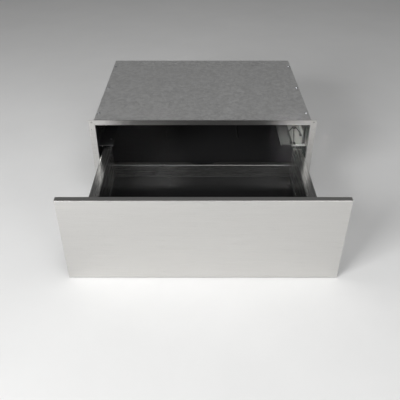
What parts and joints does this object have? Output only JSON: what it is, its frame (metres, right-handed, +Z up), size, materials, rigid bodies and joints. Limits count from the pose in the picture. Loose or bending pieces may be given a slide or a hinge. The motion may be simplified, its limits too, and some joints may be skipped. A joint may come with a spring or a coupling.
{
  "type": "built-in warming drawer",
  "caption": "Handleless built-in warming drawer with a brushed steel front, steel box sides, a black glass floor and ball bearing runners, shown pulled out of its housing.",
  "frame": {"origin": "on the surface that the unit stands on, in the middle of its footprint with the drawer fully out", "axes": "+X to the right of someone facing the front panel, +Y from the front panel into the cabinet, +Z up"},
  "size_m": [0.757, 1.026, 0.269],
  "materials": {
    "brushed_stainless": "fine horizontal grain, satin",
    "satin_stainless": "satin, fine grain, in the shade of the cavity",
    "galvanised_sheet": "zinc coated, matt with a faint spangle",
    "dark_enamel": "dark satin enamel",
    "grey_paint": "matt paint",
    "bright_zinc": "bright zinc plate",
    "polished_steel": "polished",
    "reflector_aluminium": "mill finish",
    "element_sheath": "heat darkened",
    "black_glass": "gloss, opaque black",
    "bumper_rubber": "matt",
    "dark_moulding": "fine texture",
    "pale_moulding": "smooth",
    "lead_insulation": "silicone, satin",
    "insulation_fibre": "felted fibre",
    "circuit_board": "lacquered"
  },
  "bodies": {
    "housing": {"cable_gland": "dark_moulding", "chassis_back": "galvanised_sheet", "chassis_base": "dark_enamel", "chassis_cover": "galvanised_sheet", "chassis_side_left": "satin_stainless", "chassis_side_right": "satin_stainless", "control_board": "circuit_board", "control_box": "dark_moulding", "control_lid": "dark_moulding", "fan_motor": "grey_paint", "fan_scroll": "galvanised_sheet", "front_frame": "brushed_stainless", "guide_plate_left": "brushed_stainless", "guide_plate_right": "brushed_stainless", "housing_screws": "bright_zinc", "latch_body": "dark_moulding", "lead_cover": "grey_paint", "lead_grommet": "bumper_rubber", "lead_plugs": "dark_moulding", "rear_bulkhead": "dark_enamel", "runner_outer_left": "bright_zinc", "runner_outer_right": "bright_zinc", "sensor_leads": "lead_insulation", "support_pads": "bumper_rubber", "terminal_block": "pale_moulding"},
    "drawer": {"front_panel_skin": "brushed_stainless", "front_panel_liner": "satin_stainless", "panel_stiffener": "galvanised_sheet", "panel_bumpers": "bumper_rubber", "drawer_side_left": "satin_stainless", "drawer_side_right": "satin_stainless", "drawer_front_wall": "satin_stainless", "drawer_rear_wall": "satin_stainless", "side_end_caps": "dark_moulding", "base_pan": "galvanised_sheet", "glass_floor": "black_glass", "insulation_mat": "insulation_fibre", "reflector_tray": "reflector_aluminium", "heating_element": "element_sheath", "element_clips": "galvanised_sheet", "temperature_sensor": "dark_moulding", "latch_striker": "bright_zinc", "front_bracket_left": "bright_zinc", "front_bracket_right": "bright_zinc", "runner_inner_left": "bright_zinc", "runner_inner_right": "bright_zinc"},
    "middle_left": {"runner_middle_left": "bright_zinc"},
    "middle_right": {"runner_middle_right": "bright_zinc"},
    "cage_outer_left": {"ball_cage_outer_left": "polished_steel"},
    "cage_outer_right": {"ball_cage_outer_right": "polished_steel"},
    "cage_inner_left": {"ball_cage_inner_left": "polished_steel"},
    "cage_inner_right": {"ball_cage_inner_right": "polished_steel"},
    "fan": {"fan_rotor": "reflector_aluminium"},
    "plunger": {"latch_plunger": "bright_zinc"}
  },
  "joints": [
    {"name": "drawer_slide", "type": "slide", "parent": "housing", "child": "drawer", "axis": [0, -1, 0], "range_m": [-0.432, 0]},
    {"name": "middle_left_slide", "type": "slide", "parent": "housing", "child": "middle_left", "axis": [0, -1, 0], "range_m": [-0.216, 0]},
    {"name": "middle_right_slide", "type": "slide", "parent": "housing", "child": "middle_right", "axis": [0, -1, 0], "range_m": [-0.216, 0]},
    {"name": "cage_outer_left_slide", "type": "slide", "parent": "housing", "child": "cage_outer_left", "axis": [0, -1, 0], "range_m": [-0.108, 0]},
    {"name": "cage_outer_right_slide", "type": "slide", "parent": "housing", "child": "cage_outer_right", "axis": [0, -1, 0], "range_m": [-0.108, 0]},
    {"name": "cage_inner_left_slide", "type": "slide", "parent": "housing", "child": "cage_inner_left", "axis": [0, -1, 0], "range_m": [-0.324, 0]},
    {"name": "cage_inner_right_slide", "type": "slide", "parent": "housing", "child": "cage_inner_right", "axis": [0, -1, 0], "range_m": [-0.324, 0]},
    {"name": "fan_spin", "type": "hinge", "parent": "housing", "child": "fan", "pos_m": [-0.17, 0.4267, 0.13], "axis": [0, 1, 0], "continuous": true},
    {"name": "plunger_push", "type": "slide", "parent": "housing", "child": "plunger", "axis": [0, 1, 0], "range_m": [0, 0.004], "stiffness_N_per_m": 800, "springref_m": -0.003}
  ],
  "couplings": [
    {"joint": "middle_left_slide", "follows": "drawer_slide", "ratio": 0.5},
    {"joint": "middle_right_slide", "follows": "drawer_slide", "ratio": 0.5},
    {"joint": "cage_outer_left_slide", "follows": "drawer_slide", "ratio": 0.25},
    {"joint": "cage_outer_right_slide", "follows": "drawer_slide", "ratio": 0.25},
    {"joint": "cage_inner_left_slide", "follows": "drawer_slide", "ratio": 0.75},
    {"joint": "cage_inner_right_slide", "follows": "drawer_slide", "ratio": 0.75}
  ]
}
